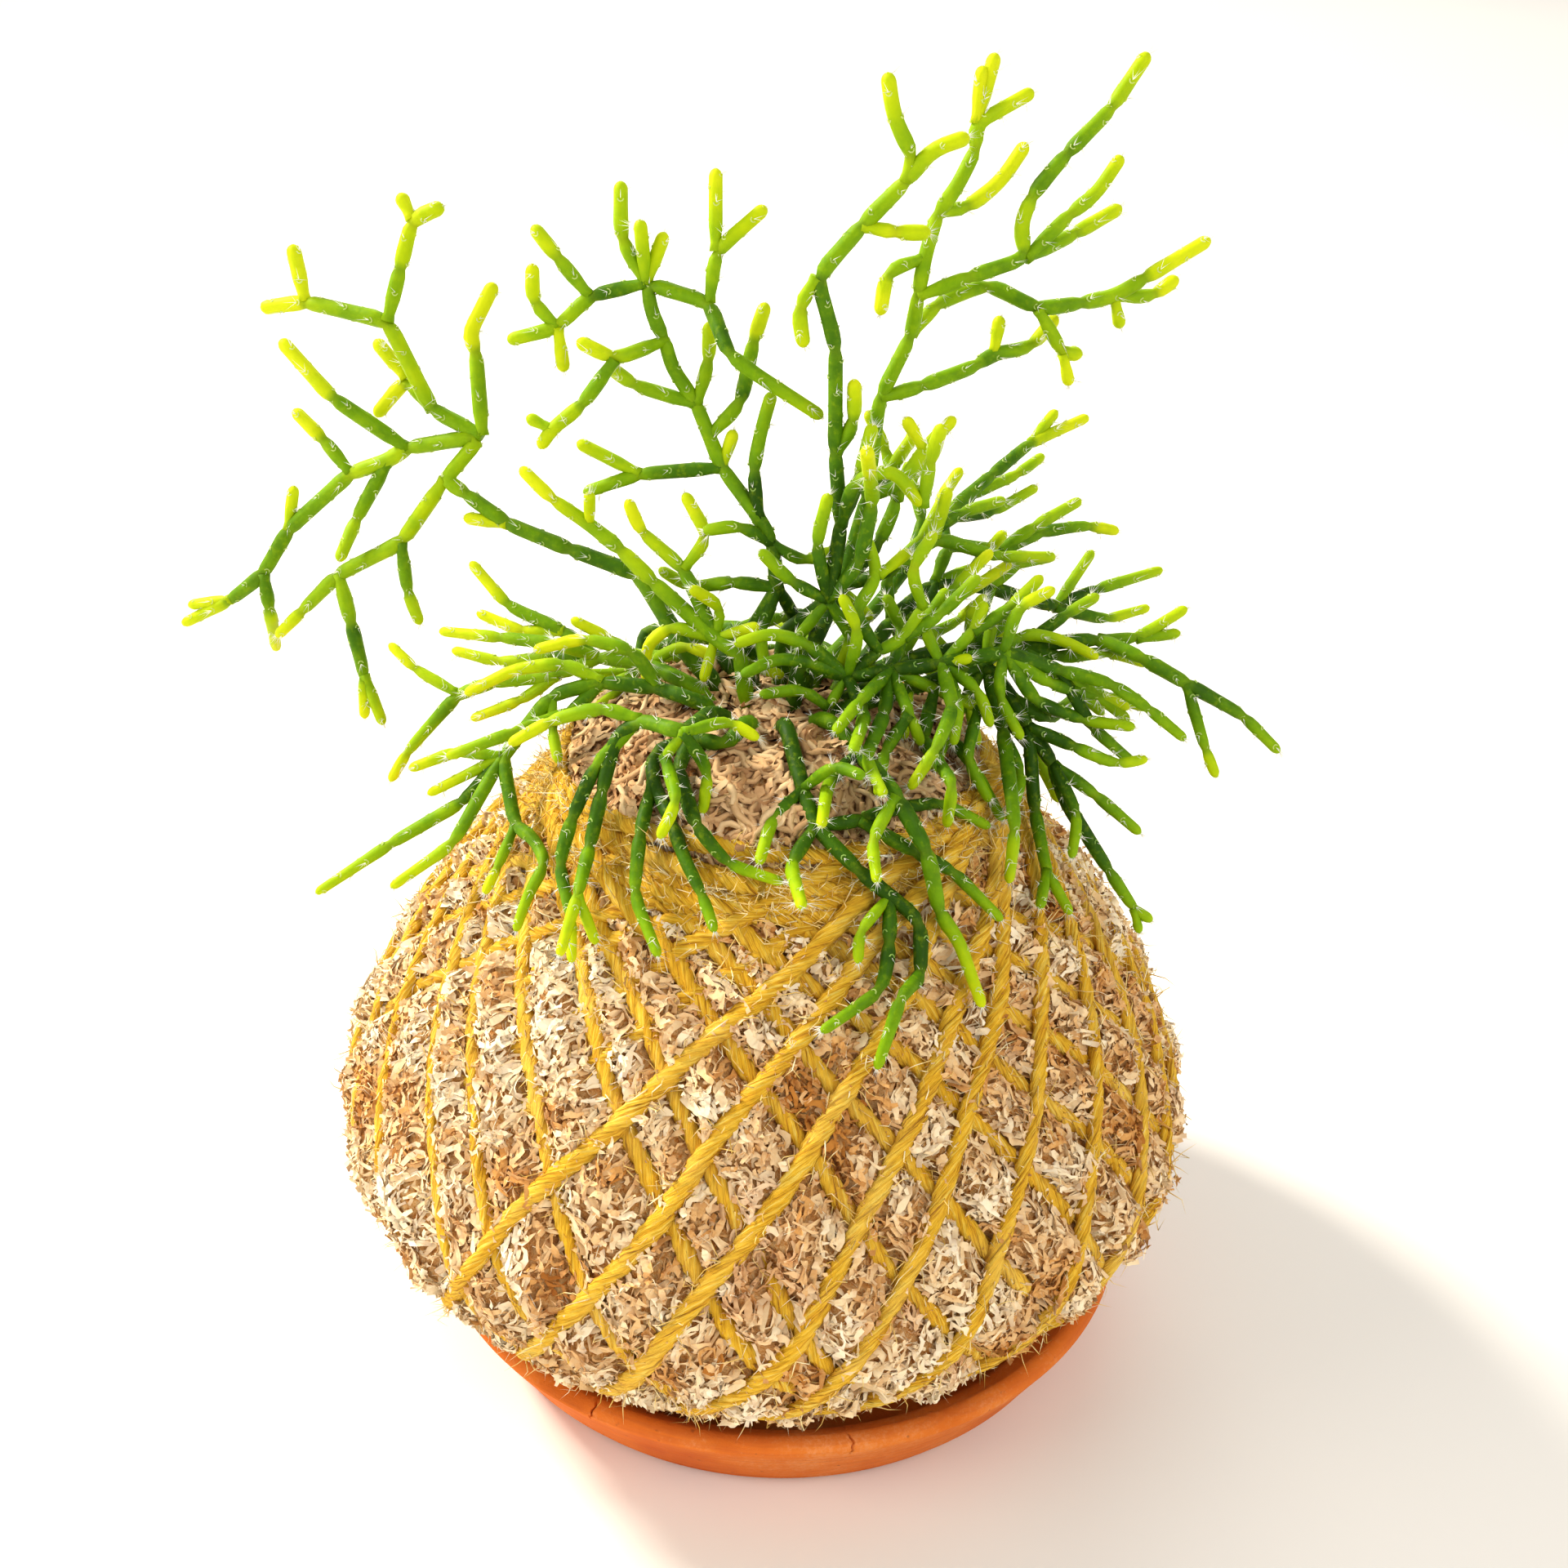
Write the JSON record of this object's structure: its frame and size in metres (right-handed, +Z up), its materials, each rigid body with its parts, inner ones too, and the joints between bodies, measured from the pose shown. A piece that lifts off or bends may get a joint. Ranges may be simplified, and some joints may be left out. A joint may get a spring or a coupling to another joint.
{
  "type": "kokedama moss ball plant",
  "caption": "Kokedama: a soil ball wrapped in dried moss and wound with jute twine, standing in a round terracotta saucer, with a jointed green cactus growing from its crown.",
  "frame": {"origin": "middle of the saucer's base face", "axes": "+Z up, out of the crown; the side shown in the picture faces -Y"},
  "size_m": [0.1722, 0.129, 0.1938],
  "materials": {
    "terracotta": "unglazed fired clay, matt, with fine turning lines",
    "dried_moss": "dry, matt and fluffy, cream to tan",
    "jute": "twisted jute twine, mustard yellow, hairy",
    "soil": "dark peaty soil bound by roots, matt",
    "stem": "waxy green, smooth with fine bristles"
  },
  "bodies": {
    "root": {"saucer": "terracotta", "moss_wrap": "dried_moss", "twine": "jute", "soil_core": "soil", "spray_front": "stem", "spray_front_right": "stem", "spray_front_short": "stem", "spray_front_left": "stem", "spray_fall_left": "stem", "spray_fall_right": "stem", "spray_left": "stem", "spray_crown_tuft": "stem", "spray_right": "stem", "spray_arch": "stem", "spray_crown_right": "stem", "spray_tall": "stem", "spray_tallest": "stem", "spray_middle": "stem", "spray_low_left": "stem", "spray_high_right": "stem", "spray_back": "stem", "spray_back_left": "stem", "spray_back_right": "stem"}
  },
  "joints": []
}
